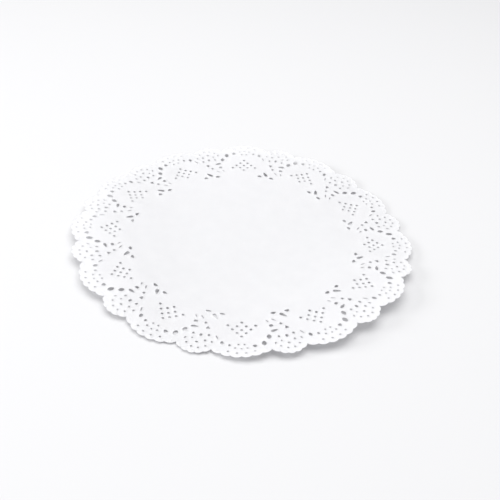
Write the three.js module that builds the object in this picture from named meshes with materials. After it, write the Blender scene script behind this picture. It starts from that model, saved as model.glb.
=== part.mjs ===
import * as THREE from 'three';

// A round die-cut paper doily that lies flat: one sheet with a plain middle, a lace border that repeats
// twelve times and a scalloped rim. Lengths are in millimetres and angles in degrees.

// Driving dimensions
const DIAMETER = 267;
const THICKNESS = 1;
const REPEATS = 12;
const REPEAT_ANGLE = 360 / REPEATS;

// A large lobe of the rim points at -Y, and its axis is the zero of every angle in the tables below.
// Angles run anticlockwise seen from above.
const FRONT_ANGLE = -90;

// Rim: each repeat has one large and one small lobe, which meet in a notch. Along each lobe's bulge stand
// small scallops, each one a shallow arc between two cusps. tipDrop is how far a lobe's middle cusp stays
// inside the full radius, and rise is the height of one scallop's arc.
const NOTCH_ANGLE = 9.35;
const NOTCH_RADIUS = 126;
const ARC_SHARES = [0, 1 / 3, 2 / 3];
const LOBES = [
  { axis: 0, halfAngle: NOTCH_ANGLE, tipDrop: 1.3, scallops: 6, rise: 1.45 },
  { axis: REPEAT_ANGLE / 2, halfAngle: REPEAT_ANGLE / 2 - NOTCH_ANGLE, tipDrop: 1.9, scallops: 5, rise: 1.15 },
];

// Lace holes of one repeat. length runs along the hole's own axis, which leans from straight outward
// towards the next larger angle. fullness is the power of the rounded outline: 2 is an ellipse, less is
// pointed, more is square. taper narrows the outward end, and a negative taper narrows the inward end.
const HOLE_COLUMNS = ['angle', 'radius', 'length', 'width', 'lean', 'fullness', 'taper', 'sides'];
const LACE_HOLES = {
  innerLeaf: [-11.6, 92.4, 5.9, 2.4, 38, 2.5, 0.4, 8],
  innerLens: [-15.5, 88.6, 2.5, 3.6, 0, 1.9, 0.5, 8],
  innerDome: [-8.9, 89.0, 2.5, 3.3, 0, 1.9, 0.5, 8],
  bell: [-12.8, 105.2, 3.0, 2.1, 8, 2.8, -0.75, 8],
  bellBase: [-14.35, 100.8, 2.3, 2.0, 5, 1.9, -0.2, 6],
  wing: [12.2, 106.8, 5.4, 2.2, 104, 1.8, 0.4, 8],
  block: [11.6, 101.4, 2.4, 2.9, 14, 2.8, -0.1, 8],
  lowerPetal: [9.65, 112.4, 4.6, 3.3, -8, 1.7, 0, 8],
  upperPetal: [7.5, 118.5, 5.3, 3.5, -3, 1.7, 0, 8],
  drop: [4.35, 120.8, 3.3, 2.7, 2, 2, 0.5, 8],
  farDrop: [-6.45, 118.3, 3.7, 2.5, 8, 1.8, 0, 8],
  farBead: [-3.9, 119.9, 2.3, 1.8, -6, 2, 0, 6],
  fanEye: [15.8, 113.8, 2.9, 2.1, 0, 2, 0, 8],
  fanCrown: [15.4, 121.2, 1.7, 2.1, 0, 2, 0, 6],
};

// The plain field of each repeat holds round pin holes in rows, like a small pine cone.
const PIN_HOLE = { length: 2, width: 2, lean: 0, fullness: 2, taper: 0, sides: 6 };
const PIN_ROWS = [
  { radius: 96.1, angles: [0] },
  { radius: 99.8, angles: [-5.55, -1.85, 1.85, 5.55] },
  { radius: 103.3, angles: [-3.55, 0, 3.55] },
  { radius: 106.6, angles: [-1.7, 1.7] },
  { radius: 110.2, angles: [0] },
];

const PAPER = { color: 0xf4f4f8, roughness: 0.88, metalness: 0 };

const radians = THREE.MathUtils.degToRad;

// The point of the plan at a radius and an angle, shifted along the rim and outward
function planPoint(radius, angle, along = 0, outward = 0) {
  const turn = radians(angle + FRONT_ANGLE);
  const reach = radius + outward;
  return new THREE.Vector2(
    reach * Math.cos(turn) - along * Math.sin(turn),
    reach * Math.sin(turn) + along * Math.cos(turn),
  );
}

// A cusp of a lobe, where share runs from -1 at one notch to 1 at the other
function lobeCusp(lobe, share, repeatAngle) {
  const tipRadius = DIAMETER / 2 - lobe.tipDrop;
  const radius = tipRadius - (tipRadius - NOTCH_RADIUS) * share * share;
  return planPoint(radius, repeatAngle + lobe.axis + share * lobe.halfAngle);
}

// The points of one small scallop: its first cusp and the arc up to the second, which is left to the next.
// The arc's two inner points stand at the full rise.
function scallopPoints(start, end, rise) {
  const chord = end.clone().sub(start);
  const outward = new THREE.Vector2(chord.y, -chord.x).normalize();
  return ARC_SHARES.map((share) => {
    const swell = share > 0 ? rise : 0;
    return start.clone().addScaledVector(chord, share).addScaledVector(outward, swell);
  });
}

function rimPoints() {
  const points = [];
  for (let repeat = 0; repeat < REPEATS; repeat += 1) {
    for (const lobe of LOBES) {
      for (let index = 0; index < lobe.scallops; index += 1) {
        const start = lobeCusp(lobe, (2 * index) / lobe.scallops - 1, repeat * REPEAT_ANGLE);
        const end = lobeCusp(lobe, (2 * (index + 1)) / lobe.scallops - 1, repeat * REPEAT_ANGLE);
        points.push(...scallopPoints(start, end, lobe.rise));
      }
    }
  }
  return points;
}

// Keeps the sign of a sine or cosine while its power bends an ellipse to a fuller or more pointed outline
const signedPower = (value, power) => Math.sign(value) * Math.abs(value) ** power;

// A rounded hole with straight sides between its points
function holePath(hole, repeatAngle) {
  const lean = radians(hole.lean);
  const points = [];
  for (let side = 0; side < hole.sides; side += 1) {
    const turn = (2 * Math.PI * side) / hole.sides;
    const share = signedPower(Math.sin(turn), 2 / hole.fullness);
    const spread = signedPower(Math.cos(turn), 2 / hole.fullness) * (1 - hole.taper * share);
    const along = 0.5 * hole.length * share;
    const across = 0.5 * hole.width * spread;
    points.push(planPoint(
      hole.radius,
      hole.angle + repeatAngle,
      across * Math.cos(lean) + along * Math.sin(lean),
      along * Math.cos(lean) - across * Math.sin(lean),
    ));
  }
  return new THREE.Path(points);
}

function repeatHoles() {
  const lace = Object.values(LACE_HOLES).map((row) => (
    Object.fromEntries(row.map((value, column) => [HOLE_COLUMNS[column], value]))
  ));
  const pins = PIN_ROWS.flatMap((row) => (
    row.angles.map((angle) => ({ ...PIN_HOLE, angle, radius: row.radius }))
  ));
  return [...lace, ...pins];
}

function laceSheet() {
  const outline = new THREE.Shape(rimPoints());
  for (let repeat = 0; repeat < REPEATS; repeat += 1) {
    for (const hole of repeatHoles()) {
      outline.holes.push(holePath(hole, repeat * REPEAT_ANGLE));
    }
  }
  const geometry = new THREE.ExtrudeGeometry(outline, { depth: THICKNESS, bevelEnabled: false, steps: 1 });
  const sheet = new THREE.Mesh(geometry, new THREE.MeshStandardMaterial(PAPER));
  sheet.name = 'lace_sheet';
  return sheet;
}

const doily = new THREE.Group();
doily.add(laceSheet());

export default doily;
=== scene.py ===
"""A round paper lace doily that lies on a pale floor, in soft studio light.

The sheet is worked out from a few named sizes and one charted repeat of its lace. The repeat is turned
twelve times round the middle, embossed, waved a little at the rim and given the thickness of paper.
"""

import math
from collections import namedtuple

import bpy
import numpy as np
from bpy.props import FloatProperty, FloatVectorProperty, PointerProperty
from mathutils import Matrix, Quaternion, Vector
from mathutils.geometry import delaunay_2d_cdt


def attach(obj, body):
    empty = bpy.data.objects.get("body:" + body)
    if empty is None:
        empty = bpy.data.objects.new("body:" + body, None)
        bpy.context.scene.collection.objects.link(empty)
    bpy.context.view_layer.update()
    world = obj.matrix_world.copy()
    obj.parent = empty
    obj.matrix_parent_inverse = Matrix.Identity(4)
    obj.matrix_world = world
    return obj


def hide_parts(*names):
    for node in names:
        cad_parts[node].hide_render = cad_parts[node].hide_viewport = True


bl_info = {
    "name": "Paper Doily",
    "version": (1, 0, 0),
    "blender": (4, 5, 0),
    "location": "View3D > Sidebar > Doily",
    "description": "Lays a round paper lace doily on a studio floor",
    "category": "Object",
}

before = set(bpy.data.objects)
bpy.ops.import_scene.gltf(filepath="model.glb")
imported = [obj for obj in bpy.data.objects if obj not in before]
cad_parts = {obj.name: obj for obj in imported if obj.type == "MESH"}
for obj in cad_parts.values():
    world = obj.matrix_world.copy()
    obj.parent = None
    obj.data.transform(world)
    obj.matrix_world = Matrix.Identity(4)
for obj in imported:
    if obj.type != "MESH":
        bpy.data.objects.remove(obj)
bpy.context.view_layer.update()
CAD_NODE = "lace_sheet"
BODY = "root"

MM = 0.001

# The pattern is charted for twelve repeats, so their number isn't a setting
REPEATS = 12
REPEAT_ANGLE = 360 / REPEATS

# A large lobe of the rim points at -Y, and its axis is the zero of every angle in the tables. Angles are
# degrees, anticlockwise seen from above, and lengths in the tables are millimetres.
FRONT_ANGLE = -90

# Each repeat of the rim has one large and one small lobe, which meet in a notch. Along a lobe's bulge stand
# small scallops, each one a shallow arc between two cusps. tip_drop is how far a lobe's middle cusp stays
# inside the full radius, and rise is the height of one scallop's arc.
Lobe = namedtuple("Lobe", "axis half_angle tip_drop scallops rise")
NOTCH_ANGLE = 9.35
NOTCH_RADIUS = 126
LOBES = [
    Lobe(axis=0, half_angle=NOTCH_ANGLE, tip_drop=1.3, scallops=6, rise=1.45),
    Lobe(
        axis=REPEAT_ANGLE / 2,
        half_angle=REPEAT_ANGLE / 2 - NOTCH_ANGLE,
        tip_drop=1.9,
        scallops=5,
        rise=1.15,
    ),
]
ARC_STEPS = 7

# Holes of one repeat, which runs from the notch at -9.35 degrees to the one at 20.65. length runs along the
# hole's own axis, and lean turns that axis from straight outward towards the next larger angle. fullness is
# the power of the rounded outline: 2 is an ellipse, less is pointed, more is square. taper narrows the
# outward end, and a negative taper narrows the inward end.
Hole = namedtuple("Hole", "angle radius length width lean fullness taper sides")
LACE_HOLES = {
    "inner leaf": Hole(18.4, 92.4, 5.9, 2.4, 38, 2.5, 0.4, 16),
    "inner lens": Hole(14.5, 88.6, 2.5, 3.6, 0, 1.9, 0.5, 16),
    "inner dome": Hole(-8.9, 89.0, 2.5, 3.3, 0, 1.9, 0.5, 16),
    "bell": Hole(17.2, 105.2, 3.0, 2.1, 8, 2.8, -0.75, 16),
    "bell base": Hole(15.65, 100.8, 2.3, 2.0, 5, 1.9, -0.2, 12),
    "wing": Hole(12.2, 106.8, 5.4, 2.2, 104, 1.8, 0.4, 16),
    "block": Hole(11.6, 101.4, 2.4, 2.9, 14, 2.8, -0.1, 16),
    "near slit": Hole(10.6, 96.3, 3.0, 0.9, 34, 1.7, 0.2, 10),
    "far slit": Hole(13.4, 95.8, 3.9, 0.9, 45, 1.7, 0.2, 12),
    "lower petal": Hole(9.65, 112.4, 4.6, 3.3, -8, 1.7, 0, 16),
    "upper petal": Hole(7.5, 118.5, 5.3, 3.5, -3, 1.7, 0, 16),
    "drop": Hole(4.35, 120.8, 3.3, 2.7, 2, 2, 0.5, 14),
    "far drop": Hole(-6.45, 118.3, 3.7, 2.5, 8, 1.8, 0, 14),
    "far bead": Hole(-3.9, 119.9, 2.3, 1.8, -6, 2, 0, 12),
    "side slit": Hole(-8.5, 113.5, 4.2, 0.9, 27, 1.7, 0.2, 12),
    "fan eye": Hole(15.8, 113.8, 2.9, 2.1, 0, 2, 0, 12),
    "fan left": Hole(13.0, 113.4, 2.2, 1.6, 0, 2, 0, 10),
    "fan right": Hole(18.5, 112.5, 2.3, 1.7, 0, 2, 0, 10),
    "fan crown": Hole(15.4, 121.2, 1.7, 2.1, 0, 2, 0, 12),
    "fan seed": Hole(17.9, 118.4, 2.2, 1.7, 0, 2, 0, 10),
    "fan far seed": Hole(20.2, 118.6, 2.2, 1.3, 10, 2, 0, 10),
    "fan near seed": Hole(13.4, 118.0, 1.6, 1.2, 0, 2, 0, 10),
    "fan slanted seed": Hole(11.2, 119.6, 2.4, 1.2, -24, 2, 0, 10),
}

# Round holes in rows. The cone fills the plain field of a large lobe, and the others follow the rim.
PinRow = namedtuple("PinRow", "radius angles width")
PIN_ROWS = [
    PinRow(96.1, [0], 2.0),
    PinRow(99.8, [-5.55, -1.85, 1.85, 5.55], 2.0),
    PinRow(103.3, [-3.55, 0, 3.55], 2.0),
    PinRow(106.6, [-1.7, 1.7], 2.0),
    PinRow(110.2, [0], 2.0),
    PinRow(118.7, [-1.0, 1.0], 1.5),
    PinRow(123.0, [-2.0, 1.9], 1.6),
    PinRow(124.0, [0], 1.4),
    PinRow(127.2, [-4.15, 4.1], 1.7),
    PinRow(129.2, [-1.4, 1.4], 1.7),
    PinRow(123.7, [12.4, 18.6], 1.6),
    PinRow(126.5, [14.4, 16.6], 1.6),
]
PIN_SIDES = 10

# The line where one repeat meets the next, as (angle, radius). It runs from the notch inward, clear of
# every hole, and then through the plain middle's rings in a slight swirl, so that no three of its points
# are in line. The swirl is in degrees for each millimetre of radius.
SEAM = [
    (-9.35, 126), (-8.5, 119), (-10, 113), (-9.8, 105), (-9.8, 100),
    (-9.5, 96), (-9.35, 94.5), (-10.3, 90.5), (-10.8, 88.8), (-11, 85),
]
BORDER_RADIUS = 85
MIDDLE_RINGS = [81.5, 77, 71.5, 65, 57.5, 49, 40, 30, 20, 10]
SWIRL = 0.05

# The mesh points of the border stand in rows, from a little before one seam to a little past the next and
# to beyond the rim. Their columns are counted on a smaller sweep, which spaces them out a little.
GRID_START_ANGLE = -13
GRID_SWEEP = 36
COLUMN_SWEEP = 34
GRID_END_RADIUS = NOTCH_RADIUS + 8

# Rings of mesh points follow each cut at these shares of the lip's width. The clearances are shares too: of
# a ring's own distance from its cut, of the spacing of the rows, and of the lip's width for the last two.
LIP_RING_SHARES = (0.42, 1.0)
RING_CLEARANCE = 0.85
GRID_CLEARANCE = 0.45
SEAM_CLEARANCE = 0.3
POINT_GAP = 0.42

# What the triangulation is asked for, and how near its points may come, in millimetres
TRIANGLES_INSIDE = 1
POINT_TOLERANCE = 1e-6
SEAM_TOLERANCE = 0.02

# The plain field round the cone is pressed in as a shallow bowl, and each small scallop stands up as a pad
FIELD_RADIUS = 104.5
FIELD_HALF_WIDTH = 12
PAD_RADIUS = 2.1
PAD_INSET = 0.9

# Rim waves of paper that lies loose: how many crests go round, how high they stand over the mean lift, and
# where the first crest is, from +X. Cockles are finer, and stand up from the waves without dipping below.
Wave = namedtuple("Wave", "count height crest")
RIM_WAVES = [Wave(3, 2.65, 76), Wave(2, 1.05, 158), Wave(4, 0.35, 77)]
COCKLES = [Wave(11, 0.16, 20), Wave(17, 0.12, 5)]

# Places where the paper turns up further: the angle of the curl's middle, its height, how many degrees it
# spreads, and the radii where it starts to rise and has risen
Curl = namedtuple("Curl", "angle height spread start end")
CURLS = [
    Curl(3, 2.6, 12, 117, 131),
    Curl(31, 1.5, 12, 115, 131),
    Curl(60, 1.9, 12, 113, 130),
    Curl(-48, 1.0, 12, 76, 96),
]

# How much longer than wide the fibres of the paper are, and the turns of their layers in radians
FIBRE_STRETCH = 5.5
FIBRE_TURNS = (0.2, 1.3, 2.3)

# How many clouds of fibre go in a metre, and the roughness between and on the fibres
CLOUD_SCALE = 90
FACE_ROUGHNESS = (0.78, 0.95)

# Faces that meet at less than this are shaded as one, so only the cut edges stay sharp
SMOOTH_ANGLE = math.radians(40)

# The floor lies a hair under the paper, so that the two faces don't share a plane
FLOOR_GAP = 0.0001

# Soft boxes: where they stand and their width and depth in metres, and their power in watts
SoftBox = namedtuple("SoftBox", "place size power")
SOFT_BOXES = {
    "overhead box": SoftBox((0.0, 0.1, 1.4), (1.8, 1.4), 21.0),
    "side box": SoftBox((-1.9, -0.3, 0.85), (0.9, 0.6), 20.5),
}


def plan_point(radius, angle, along=0.0, outward=0.0):
    """The point of the plan at a radius and an angle, shifted along the rim and outward."""
    turn = math.radians(angle + FRONT_ANGLE)
    reach = radius + outward
    return np.array([
        reach * math.cos(turn) - along * math.sin(turn),
        reach * math.sin(turn) + along * math.cos(turn),
    ])


def rotated(points, angle):
    """Points of the plan turned round the centre by an angle in degrees."""
    turn = math.radians(angle)
    x, y = points[:, 0], points[:, 1]
    return np.column_stack([
        x * math.cos(turn) - y * math.sin(turn),
        x * math.sin(turn) + y * math.cos(turn),
    ])


def signed_power(value, power):
    """A power that keeps the sign of a sine or cosine."""
    return math.copysign(abs(value) ** power, value)


def hole_outline(hole):
    """The rounded outline of one hole, as its corners in order."""
    lean = math.radians(hole.lean)
    points = []
    for side in range(hole.sides):
        turn = math.tau * side / hole.sides
        share = signed_power(math.sin(turn), 2 / hole.fullness)
        spread = signed_power(math.cos(turn), 2 / hole.fullness) * (1 - hole.taper * share)
        along = 0.5 * hole.length * share
        across = 0.5 * hole.width * spread
        points.append(plan_point(
            hole.radius,
            hole.angle,
            across * math.cos(lean) + along * math.sin(lean),
            along * math.cos(lean) - across * math.sin(lean),
        ))
    return np.array(points)


def repeat_holes():
    """The outlines of every hole in one repeat."""
    pins = [
        Hole(angle, row.radius, row.width, row.width, 0, 2, 0, PIN_SIDES)
        for row in PIN_ROWS
        for angle in row.angles
    ]
    return [hole_outline(hole) for hole in [*LACE_HOLES.values(), *pins]]


def lobe_cusp(lobe, share, diameter):
    """A cusp of a lobe, where share runs from -1 at one notch to 1 at the other."""
    tip_radius = diameter / 2 - lobe.tip_drop
    radius = tip_radius - (tip_radius - NOTCH_RADIUS) * share * share
    return plan_point(radius, lobe.axis + share * lobe.half_angle)


def scallop_arc(start, end, rise):
    """The points of one circular arc from its first cusp, without the second."""
    chord = end - start
    half = np.linalg.norm(chord) / 2
    outward = np.array([chord[1], -chord[0]]) / (2 * half)
    arc_radius = (half * half + rise * rise) / (2 * rise)
    sweep = math.asin(half / arc_radius)
    points = []
    for step in range(ARC_STEPS):
        turn = sweep * (2 * step / ARC_STEPS - 1)
        height = arc_radius * math.cos(turn) - (arc_radius - rise)
        middle_share = 0.5 + 0.5 * arc_radius * math.sin(turn) / half
        points.append(start + middle_share * chord + height * outward)
    return points


def repeat_rim(diameter):
    """The rim of one repeat from notch to notch, with both notches in it."""
    points = []
    for lobe in LOBES:
        for index in range(lobe.scallops):
            start = lobe_cusp(lobe, 2 * index / lobe.scallops - 1, diameter)
            end = lobe_cusp(lobe, 2 * (index + 1) / lobe.scallops - 1, diameter)
            points.extend(scallop_arc(start, end, lobe.rise))
    points.append(end)
    return np.array(points)


def ring_seam_angle(radius):
    """Where the seam crosses one ring of the plain middle."""
    return SEAM[-1][0] - SWIRL * (BORDER_RADIUS - radius)


def seam_line(spacing):
    """The seam from the centre out to the notch, without the notch itself."""
    knots = [plan_point(radius, angle) for angle, radius in SEAM]
    points = []
    for start, end in zip(knots, knots[1:]):
        steps = max(1, round(np.linalg.norm(end - start) / spacing))
        points.extend(start + (end - start) * (step + 1) / steps for step in range(steps))
    points.extend(plan_point(radius, ring_seam_angle(radius)) for radius in [*MIDDLE_RINGS, 0])
    return np.array(points[::-1])


def distance_to_loop(points, loop):
    """How far each point is from a closed loop's line."""
    step = np.roll(loop, -1, axis=0) - loop
    offset = points[:, None, :] - loop[None]
    share = np.clip((offset * step).sum(axis=2) / (step * step).sum(axis=1), 0, 1)
    return np.linalg.norm(offset - share[..., None] * step, axis=2).min(axis=1)


def distance_to_cuts(points, loops):
    """How far each point is from the nearest of several closed loops."""
    return np.min([distance_to_loop(points, loop) for loop in loops], axis=0)


def inside_loop(points, loop):
    """Which points lie inside a closed loop, by how many of its sides pass to their right."""
    end = np.roll(loop, -1, axis=0)
    x, y = points[:, :1], points[:, 1:]
    rise = end[:, 1] - loop[:, 1]
    slope = (end[:, 0] - loop[:, 0]) / np.where(rise == 0, 1, rise)
    crosses = (loop[:, 1] > y) != (end[:, 1] > y)
    reach = loop[:, 0] + (y - loop[:, 1]) * slope
    return (crosses & (x < reach)).sum(axis=1) % 2 == 1


def inside_any(points, loops):
    """Which points lie inside at least one of the loops."""
    return np.any([inside_loop(points, loop) for loop in loops], axis=0)


def offset_ring(loop, distance):
    """The corners of a closed loop moved outward, or inward where the distance is negative."""
    before = loop - np.roll(loop, 1, axis=0)
    after = np.roll(loop, -1, axis=0) - loop
    before /= np.linalg.norm(before, axis=1)[:, None]
    after /= np.linalg.norm(after, axis=1)[:, None]
    tangent = before + after
    normal = np.column_stack([tangent[:, 1], -tangent[:, 0]])
    normal /= np.linalg.norm(normal, axis=1)[:, None]
    outward = np.sign(((loop - loop.mean(axis=0)) * normal).sum()) * normal
    return loop + distance * outward


def border_grid(spacing):
    """Points in staggered rows over the lace border of one repeat."""
    points = []
    row_step = spacing * math.sqrt(0.75)
    rows = int((GRID_END_RADIUS - BORDER_RADIUS) / row_step)
    for row in range(rows):
        radius = BORDER_RADIUS + row_step * (row + 0.5)
        columns = round(radius * math.radians(COLUMN_SWEEP) / spacing)
        for column in range(columns):
            share = (column + 0.5 * (row % 2)) / columns
            points.append(plan_point(radius, GRID_START_ANGLE + GRID_SWEEP * share))
    return np.array(points)


def middle_rings():
    """Points of the plain middle of one repeat, in rings that widen towards the centre."""
    points = []
    widths = [outer - inner for outer, inner in zip([BORDER_RADIUS, *MIDDLE_RINGS], MIDDLE_RINGS)]
    for radius, width in zip(MIDDLE_RINGS, widths):
        columns = max(1, round(radius * math.radians(REPEAT_ANGLE) / width))
        points.extend(
            plan_point(radius, ring_seam_angle(radius) + REPEAT_ANGLE * column / columns)
            for column in range(1, columns)
        )
    return np.array(points)


def spread_out(points, gap):
    """The points in their order, without those that come nearer than a gap to one kept before."""
    kept = np.empty((0, 2))
    for point in points:
        if not len(kept) or ((kept - point) ** 2).sum(axis=1).min() >= gap * gap:
            kept = np.vstack([kept, point])
    return kept


def repeat_mesh(diameter, lip_width, spacing):
    """The points and triangles of one flat repeat, with its holes left open, and every cut that is near."""
    holes = repeat_holes()
    rim = repeat_rim(diameter)
    seam = seam_line(spacing)
    far_seam = rotated(seam, REPEAT_ANGLE)[:0:-1]
    outline = np.vstack([seam, rim, far_seam])
    whole_rim = np.vstack([rotated(rim[:-1], REPEAT_ANGLE * repeat) for repeat in range(REPEATS)])
    near_holes = [rotated(hole, REPEAT_ANGLE * repeat) for hole in holes for repeat in (-1, 0, 1)]
    cuts = [*near_holes, whole_rim]

    lips = []
    for share in LIP_RING_SHARES:
        rings = [offset_ring(hole, share * lip_width) for hole in holes]
        rings.append(offset_ring(whole_rim, -share * lip_width))
        ring_points = np.vstack(rings)
        clear = distance_to_cuts(ring_points, cuts) > RING_CLEARANCE * share * lip_width
        lips.append(ring_points[clear])
    grid = border_grid(spacing)
    grid = grid[distance_to_cuts(grid, cuts) > lip_width + GRID_CLEARANCE * spacing]
    fill = np.vstack([*lips, grid])
    fill = fill[inside_loop(fill, outline) & ~inside_any(fill, holes)]
    # The seam is taken as a loop here, so its closing line is kept clear too
    fill = fill[distance_to_loop(fill, seam) > SEAM_CLEARANCE * lip_width]
    fill = spread_out(fill, POINT_GAP * lip_width)

    loops = [outline, *holes]
    edges = []
    first = 0
    for loop in loops:
        count = len(loop)
        edges.extend((first + index, first + (index + 1) % count) for index in range(count))
        first += count
    flat = np.vstack([*loops, fill, middle_rings()])
    made = delaunay_2d_cdt(
        [Vector(point) for point in flat], edges, [], TRIANGLES_INSIDE, POINT_TOLERANCE, False
    )
    points = np.array([vertex[:] for vertex in made[0]])
    triangles = np.array(made[2])
    centres = points[triangles].mean(axis=1)
    triangles = triangles[inside_loop(centres, outline) & ~inside_any(centres, holes)]
    return points, triangles, cuts


def smooth_fall(share):
    """A soft step that falls from 1 at a share of 0 to 0 at 1 and beyond."""
    share = np.clip(share, 0, 1)
    return 1 - share * share * (3 - 2 * share)


def scallop_pads(points, diameter):
    """How much each point of a repeat belongs to the raised pad of a small scallop, from 0 to 1."""
    height = np.zeros(len(points))
    for lobe in LOBES:
        for index in range(lobe.scallops):
            middle = lobe_cusp(lobe, (2 * index + 1) / lobe.scallops - 1, diameter)
            centre = middle * (1 - PAD_INSET / np.linalg.norm(middle))
            reach = np.linalg.norm(points - centre, axis=1)
            height = np.maximum(height, smooth_fall(reach / PAD_RADIUS))
    return height


def field_bowl(points):
    """How far each point of a repeat lies in the bowl of the large lobe's field, from 0 to 1."""
    reach = np.linalg.norm(points - plan_point(FIELD_RADIUS, 0), axis=1)
    return smooth_fall(reach / FIELD_HALF_WIDTH)


def angle_between(turn, angle):
    """How far each turn, in radians from +X, is from an angle of the tables, in radians."""
    return (turn - math.radians(angle + FRONT_ANGLE) + math.pi) % math.tau - math.pi


def wave_swing(wave, turn):
    """Where on a wave each turn is, from -1 in a dip to 1 on a crest."""
    return np.cos(wave.count * (turn - math.radians(wave.crest)))


def curl_lift(curl, reach, turn):
    """How high a curl stands at each radius and turn, in millimetres."""
    rise = 1 - smooth_fall((reach - curl.start) / (curl.end - curl.start))
    spread = angle_between(turn, curl.angle) / math.radians(curl.spread)
    return curl.height * rise * np.exp(-spread ** 2)


def paper_lift(points, rest_radius, rim_lift, diameter):
    """How high the loose sheet stands off the floor at each point, in millimetres."""
    reach = np.linalg.norm(points, axis=1)
    turn = np.arctan2(points[:, 1], points[:, 0])
    climb = 1 - smooth_fall((reach - rest_radius) / (diameter / 2 - rest_radius))
    waves = sum(wave.height * wave_swing(wave, turn) for wave in RIM_WAVES)
    cockles = sum(wave.height * (1 + wave_swing(wave, turn)) for wave in COCKLES)
    curls = sum(curl_lift(curl, reach, turn) for curl in CURLS)
    return climb * (rim_lift + waves) + climb ** 2 * cockles + curls


def pick_only(piece):
    """Leaves one object selected and active."""
    bpy.ops.object.select_all(action="DESELECT")
    piece.select_set(True)
    bpy.context.view_layer.objects.active = piece


def apply_modifier(piece, kind, **settings):
    """Adds one modifier with its settings and applies it."""
    pick_only(piece)
    modifier = piece.modifiers.new(kind.title(), kind)
    for name, value in settings.items():
        setattr(modifier, name, value)
    bpy.ops.object.modifier_apply(modifier=modifier.name)


def repeat_piece(sizes):
    """One embossed repeat of the sheet as an object, with its notch and seams ready to join the next."""
    diameter = sizes.diameter / MM
    lip_width = sizes.lip_width / MM
    points, triangles, cuts = repeat_mesh(diameter, lip_width, sizes.mesh_spacing / MM)
    near = smooth_fall(distance_to_cuts(points, cuts) / lip_width)
    relief = (
        near * sizes.lip_height
        + scallop_pads(points, diameter) * sizes.pad_height
        - field_bowl(points) * sizes.field_depth
    )
    places = np.column_stack([points * MM, relief])
    mesh = bpy.data.meshes.new("lace_doily")
    mesh.from_pydata(places.tolist(), [], triangles.tolist())
    pressed = mesh.attributes.new("pressed", "FLOAT", "POINT")
    pressed.data.foreach_set("value", near)
    piece = bpy.data.objects.new("lace_doily", mesh)
    bpy.context.scene.collection.objects.link(piece)
    return piece


def turn_repeats(piece):
    """Copies the repeat round the middle and joins the copies along their seams."""
    bpy.ops.object.empty_add(rotation=(0, 0, math.tau / REPEATS))
    pivot = bpy.context.object
    apply_modifier(
        piece,
        "ARRAY",
        count=REPEATS,
        use_relative_offset=False,
        use_object_offset=True,
        offset_object=pivot,
        use_merge_vertices=True,
        use_merge_vertices_cap=True,
        merge_threshold=SEAM_TOLERANCE * MM,
    )
    bpy.data.objects.remove(pivot)
    pick_only(piece)
    bpy.ops.object.mode_set(mode="EDIT")
    bpy.ops.mesh.select_all(action="SELECT")
    bpy.ops.mesh.remove_doubles(threshold=SEAM_TOLERANCE * MM)
    bpy.ops.object.mode_set(mode="OBJECT")


def lift_sheet(piece, sizes):
    """Lays the flat sheet loosely: the middle on the floor and the rim in low waves over it."""
    mesh = piece.data
    places = np.empty(3 * len(mesh.vertices), np.float32)
    mesh.vertices.foreach_get("co", places)
    places = places.reshape(-1, 3)
    lift = paper_lift(
        places[:, :2] / MM, sizes.rest_radius / MM, sizes.rim_lift / MM, sizes.diameter / MM
    )
    places[:, 2] += lift * MM
    mesh.vertices.foreach_set("co", places.ravel())
    mesh.update()


class DoilySizes(bpy.types.PropertyGroup):
    """Sizes of the paper sheet."""

    diameter: FloatProperty(
        name="Diameter",
        description="Width of the sheet over its scallops",
        default=0.267,
        unit="LENGTH",
    )
    thickness: FloatProperty(
        name="Thickness",
        description="Thickness of the paper with its embossing",
        default=0.0002,
        unit="LENGTH",
    )
    lip_height: FloatProperty(
        name="Lip height",
        description="How high the paper is pressed up round each cut",
        default=0.0003,
        unit="LENGTH",
    )
    lip_width: FloatProperty(
        name="Lip width",
        description="How far from a cut its raised lip fades out",
        default=0.00095,
        unit="LENGTH",
    )
    pad_height: FloatProperty(
        name="Pad height",
        description="How high the pad of each small scallop is pressed up",
        default=0.0005,
        unit="LENGTH",
    )
    field_depth: FloatProperty(
        name="Field depth",
        description="How deep the plain field of each large lobe is pressed in",
        default=0.0007,
        unit="LENGTH",
    )
    rest_radius: FloatProperty(
        name="Rest radius",
        description="Radius of the middle that lies flat on the floor",
        default=0.030,
        unit="LENGTH",
    )
    rim_lift: FloatProperty(
        name="Rim lift",
        description="Mean height of the rim over the floor",
        default=0.0040,
        unit="LENGTH",
    )
    mesh_spacing: FloatProperty(
        name="Mesh spacing",
        description="Distance between mesh points in the lace border",
        default=0.0010,
        unit="LENGTH",
    )


class PaperFinish(bpy.types.PropertyGroup):
    """Look of the paper."""

    bright_color: FloatVectorProperty(
        name="Bright paper",
        description="Colour of the paper where its fibres lie thin",
        subtype="COLOR",
        default=(0.915, 0.915, 0.925),
    )
    deep_color: FloatVectorProperty(
        name="Deep paper",
        description="Colour of the paper in its faint clouds",
        subtype="COLOR",
        default=(0.835, 0.835, 0.85),
    )
    edge_color: FloatVectorProperty(
        name="Cut edge",
        description="Colour of the paper's cut edge",
        subtype="COLOR",
        default=(0.78, 0.78, 0.80),
    )
    translucency: FloatProperty(
        name="Translucency",
        description="Share of the light that each face of the paper lets through",
        default=0.42,
        subtype="FACTOR",
        min=0.0,
        max=1.0,
    )
    fibre_scale: FloatProperty(
        name="Fibre scale",
        description="How many fibres go in a metre",
        default=1400,
    )
    fibre_depth: FloatProperty(
        name="Fibre depth",
        description="How far the fibres stand up in the bump",
        default=0.0002,
        unit="LENGTH",
    )


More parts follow.
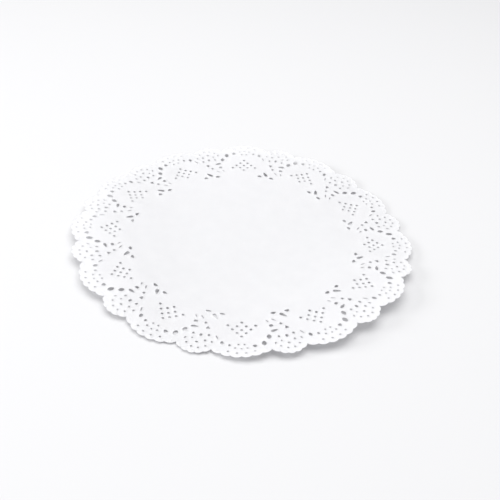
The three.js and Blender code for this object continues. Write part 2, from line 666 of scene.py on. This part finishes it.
class StudioSetup(bpy.types.PropertyGroup):
    """Camera, floor and light."""

    lens: FloatProperty(
        name="Lens",
        description="Focal length on a 36 mm sensor",
        default=62.7,
        unit="CAMERA",
    )
    distance: FloatProperty(
        name="Distance",
        description="Distance of the camera from the point that it looks at",
        default=0.6765,
        unit="LENGTH",
    )
    elevation: FloatProperty(
        name="Elevation",
        description="Angle of the camera over the floor",
        default=math.radians(37.8),
        subtype="ANGLE",
    )
    azimuth: FloatProperty(
        name="Azimuth",
        description="Angle of the camera round the doily from its front",
        default=math.radians(-2.8),
        subtype="ANGLE",
    )
    roll: FloatProperty(
        name="Roll",
        description="Angle of the camera about its own line of sight",
        default=math.radians(4.65),
        subtype="ANGLE",
    )
    target: FloatVectorProperty(
        name="Target",
        description="Point that the camera looks at",
        subtype="XYZ",
        unit="LENGTH",
        default=(0.0058, -0.0112, 0.0),
    )
    floor_size: FloatProperty(
        name="Floor size",
        description="Length of the floor's side",
        default=12.0,
        unit="LENGTH",
    )
    floor_color: FloatVectorProperty(
        name="Floor",
        description="Colour of the floor",
        subtype="COLOR",
        default=(0.65, 0.65, 0.66),
    )
    world_color: FloatVectorProperty(
        name="Room light",
        description="Colour of the light from all round",
        subtype="COLOR",
        default=(1.0, 1.0, 1.0),
    )
    world_strength: FloatProperty(
        name="Room light strength",
        description="Strength of the light from all round",
        default=0.555,
    )


def new_material(name):
    """A material with its node tree emptied down to the shader, which is returned with it."""
    material = bpy.data.materials.new(name)
    material.use_nodes = True
    shader = material.node_tree.nodes["Principled BSDF"]
    shader.inputs["Metallic"].default_value = 0.0
    return material, shader


def noise(tree, vector, scale, detail):
    """A noise texture at a scale, read at a vector."""
    node = tree.nodes.new("ShaderNodeTexNoise")
    node.inputs["Scale"].default_value = scale
    node.inputs["Detail"].default_value = detail
    node.inputs["Roughness"].default_value = 0.6
    tree.links.new(vector, node.inputs["Vector"])
    return node.outputs["Fac"]


def stretched_fibres(tree, vector, scale, turn):
    """Noise drawn out into short fibres that lie in one direction."""
    mapping = tree.nodes.new("ShaderNodeMapping")
    mapping.vector_type = "TEXTURE"
    mapping.inputs["Rotation"].default_value = (0, 0, turn)
    mapping.inputs["Scale"].default_value = (1, FIBRE_STRETCH, 1)
    tree.links.new(vector, mapping.inputs["Vector"])
    return noise(tree, mapping.outputs["Vector"], scale, 3)


def add_values(tree, first, second):
    """The sum of two values."""
    node = tree.nodes.new("ShaderNodeMath")
    node.operation = "ADD"
    tree.links.new(first, node.inputs[0])
    tree.links.new(second, node.inputs[1])
    return node.outputs[0]


def mapped(tree, value, low, high):
    """A value of 0 to 1 brought to another range."""
    node = tree.nodes.new("ShaderNodeMapRange")
    node.inputs["To Min"].default_value = low
    node.inputs["To Max"].default_value = high
    tree.links.new(value, node.inputs["Value"])
    return node.outputs["Result"]


def fibre_bump(tree, shader, finish):
    """Fibres in three directions as a fine bump on the shader."""
    coordinates = tree.nodes.new("ShaderNodeTexCoord").outputs["Object"]
    layers = [stretched_fibres(tree, coordinates, finish.fibre_scale, turn) for turn in FIBRE_TURNS]
    fibres = add_values(tree, add_values(tree, layers[0], layers[1]), layers[2])
    bump = tree.nodes.new("ShaderNodeBump")
    bump.inputs["Strength"].default_value = 0.6
    bump.inputs["Distance"].default_value = finish.fibre_depth
    tree.links.new(fibres, bump.inputs["Height"])
    tree.links.new(bump.outputs["Normal"], shader.inputs["Normal"])
    return coordinates, layers[0]


def let_light_through(material, shader, color, share):
    """Lets a share of the light that falls on the paper out at its other side."""
    tree = material.node_tree
    through = tree.nodes.new("ShaderNodeBsdfTranslucent")
    through.inputs["Color"].default_value = (*color, 1)
    mix = tree.nodes.new("ShaderNodeMixShader")
    mix.inputs["Fac"].default_value = share
    tree.links.new(shader.outputs["BSDF"], mix.inputs[1])
    tree.links.new(through.outputs["BSDF"], mix.inputs[2])
    tree.links.new(mix.outputs["Shader"], tree.nodes["Material Output"].inputs["Surface"])


def paper_face(finish):
    """White uncoated paper: faint clouds of fibre, a fine tooth and next to no gloss."""
    material, shader = new_material("white doily paper")
    tree = material.node_tree
    coordinates, fibres = fibre_bump(tree, shader, finish)
    clouds = noise(tree, coordinates, CLOUD_SCALE, 4)
    colors = tree.nodes.new("ShaderNodeMix")
    colors.data_type = "RGBA"
    colors.inputs["A"].default_value = (*finish.deep_color, 1)
    colors.inputs["B"].default_value = (*finish.bright_color, 1)
    tree.links.new(clouds, colors.inputs["Factor"])
    tree.links.new(colors.outputs["Result"], shader.inputs["Base Color"])
    tree.links.new(mapped(tree, fibres, *FACE_ROUGHNESS), shader.inputs["Roughness"])
    shader.inputs["Specular IOR Level"].default_value = 0.25
    let_light_through(material, shader, finish.bright_color, finish.translucency)
    return material


def paper_edge(finish):
    """The cut edge of the paper, a little deeper in colour and rougher than its face."""
    material, shader = new_material("cut paper edge")
    tree = material.node_tree
    fibre_bump(tree, shader, finish)
    shader.inputs["Base Color"].default_value = (*finish.edge_color, 1)
    shader.inputs["Roughness"].default_value = 0.95
    shader.inputs["Specular IOR Level"].default_value = 0.15
    return material


class OBJECT_OT_lay_lace_doily(bpy.types.Operator):
    """Lay the embossed lace sheet over its plain solid"""

    bl_idname = "object.lay_lace_doily"
    bl_label = "Lay Lace Doily"

    def execute(self, context):
        sizes = context.scene.doily_sizes
        finish = context.scene.paper_finish
        piece = repeat_piece(sizes)
        turn_repeats(piece)
        lift_sheet(piece, sizes)
        piece.data.materials.append(paper_face(finish))
        piece.data.materials.append(paper_edge(finish))
        apply_modifier(
            piece, "SOLIDIFY", thickness=sizes.thickness, offset=1.0, material_offset_rim=1
        )
        pick_only(piece)
        bpy.ops.object.shade_smooth_by_angle(angle=SMOOTH_ANGLE)
        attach(piece, BODY)
        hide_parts(CAD_NODE)
        return {"FINISHED"}


def add_camera(studio):
    """The camera, at the distance and angles of the setup, rolled about its line of sight."""
    back = Vector((
        math.sin(studio.azimuth) * math.cos(studio.elevation),
        -math.cos(studio.azimuth) * math.cos(studio.elevation),
        math.sin(studio.elevation),
    ))
    level = (-back).to_track_quat("-Z", "Y")
    turned = level @ Quaternion((0, 0, 1), studio.roll)
    place = Vector(studio.target) + back * studio.distance
    bpy.ops.object.camera_add(location=place, rotation=turned.to_euler())
    camera = bpy.context.object
    camera.name = "doily_camera"
    camera.data.sensor_width = 36
    camera.data.lens = studio.lens
    camera.data.clip_start = 0.01
    bpy.context.scene.camera = camera


def add_soft_box(name, box):
    """A rectangular lamp that faces the doily."""
    turned = Vector(box.place).to_track_quat("Z", "Y").to_euler()
    bpy.ops.object.light_add(type="AREA", location=box.place, rotation=turned)
    lamp = bpy.context.object
    lamp.name = name
    lamp.data.shape = "RECTANGLE"
    lamp.data.size, lamp.data.size_y = box.size
    lamp.data.energy = box.power


def add_floor(studio):
    """The pale floor under the doily."""
    bpy.ops.mesh.primitive_plane_add(size=studio.floor_size, location=(0, 0, -FLOOR_GAP))
    floor = bpy.context.object
    floor.name = "floor"
    material, shader = new_material("pale floor")
    shader.inputs["Base Color"].default_value = (*studio.floor_color, 1)
    shader.inputs["Roughness"].default_value = 0.9
    floor.data.materials.append(material)


def light_room(studio):
    """Even light from all round."""
    world = bpy.data.worlds.new("pale room")
    world.use_nodes = True
    background = world.node_tree.nodes["Background"]
    background.inputs["Color"].default_value = (*studio.world_color, 1)
    background.inputs["Strength"].default_value = studio.world_strength
    bpy.context.scene.world = world


class OBJECT_OT_set_doily_studio(bpy.types.Operator):
    """Set up the floor, the soft light and the camera"""

    bl_idname = "object.set_doily_studio"
    bl_label = "Set Doily Studio"

    def execute(self, context):
        studio = context.scene.doily_studio
        add_floor(studio)
        light_room(studio)
        for name, box in SOFT_BOXES.items():
            add_soft_box(name, box)
        add_camera(studio)
        context.scene.view_settings.view_transform = "Standard"
        return {"FINISHED"}


class VIEW3D_PT_doily(bpy.types.Panel):
    """Sidebar panel with the doily's steps and sizes"""

    bl_label = "Paper Doily"
    bl_idname = "VIEW3D_PT_doily"
    bl_space_type = "VIEW_3D"
    bl_region_type = "UI"
    bl_category = "Doily"

    def draw(self, context):
        scene = context.scene
        for settings in (scene.doily_sizes, scene.paper_finish, scene.doily_studio):
            box = self.layout.box()
            for name in settings.bl_rna.properties.keys():
                if name not in ("rna_type", "name"):
                    box.prop(settings, name)
        self.layout.operator(OBJECT_OT_lay_lace_doily.bl_idname)
        self.layout.operator(OBJECT_OT_set_doily_studio.bl_idname)


CLASSES = (
    DoilySizes,
    PaperFinish,
    StudioSetup,
    OBJECT_OT_lay_lace_doily,
    OBJECT_OT_set_doily_studio,
    VIEW3D_PT_doily,
)


def register():
    """Registers the classes and puts their settings on the scene."""
    for cls in CLASSES:
        bpy.utils.register_class(cls)
    bpy.types.Scene.doily_sizes = PointerProperty(type=DoilySizes)
    bpy.types.Scene.paper_finish = PointerProperty(type=PaperFinish)
    bpy.types.Scene.doily_studio = PointerProperty(type=StudioSetup)


def unregister():
    """Takes the settings off the scene and unregisters the classes."""
    del bpy.types.Scene.doily_studio
    del bpy.types.Scene.paper_finish
    del bpy.types.Scene.doily_sizes
    for cls in reversed(CLASSES):
        bpy.utils.unregister_class(cls)


def main():
    register()
    bpy.ops.object.lay_lace_doily()
    bpy.ops.object.set_doily_studio()


if __name__ == "__main__":
    main()
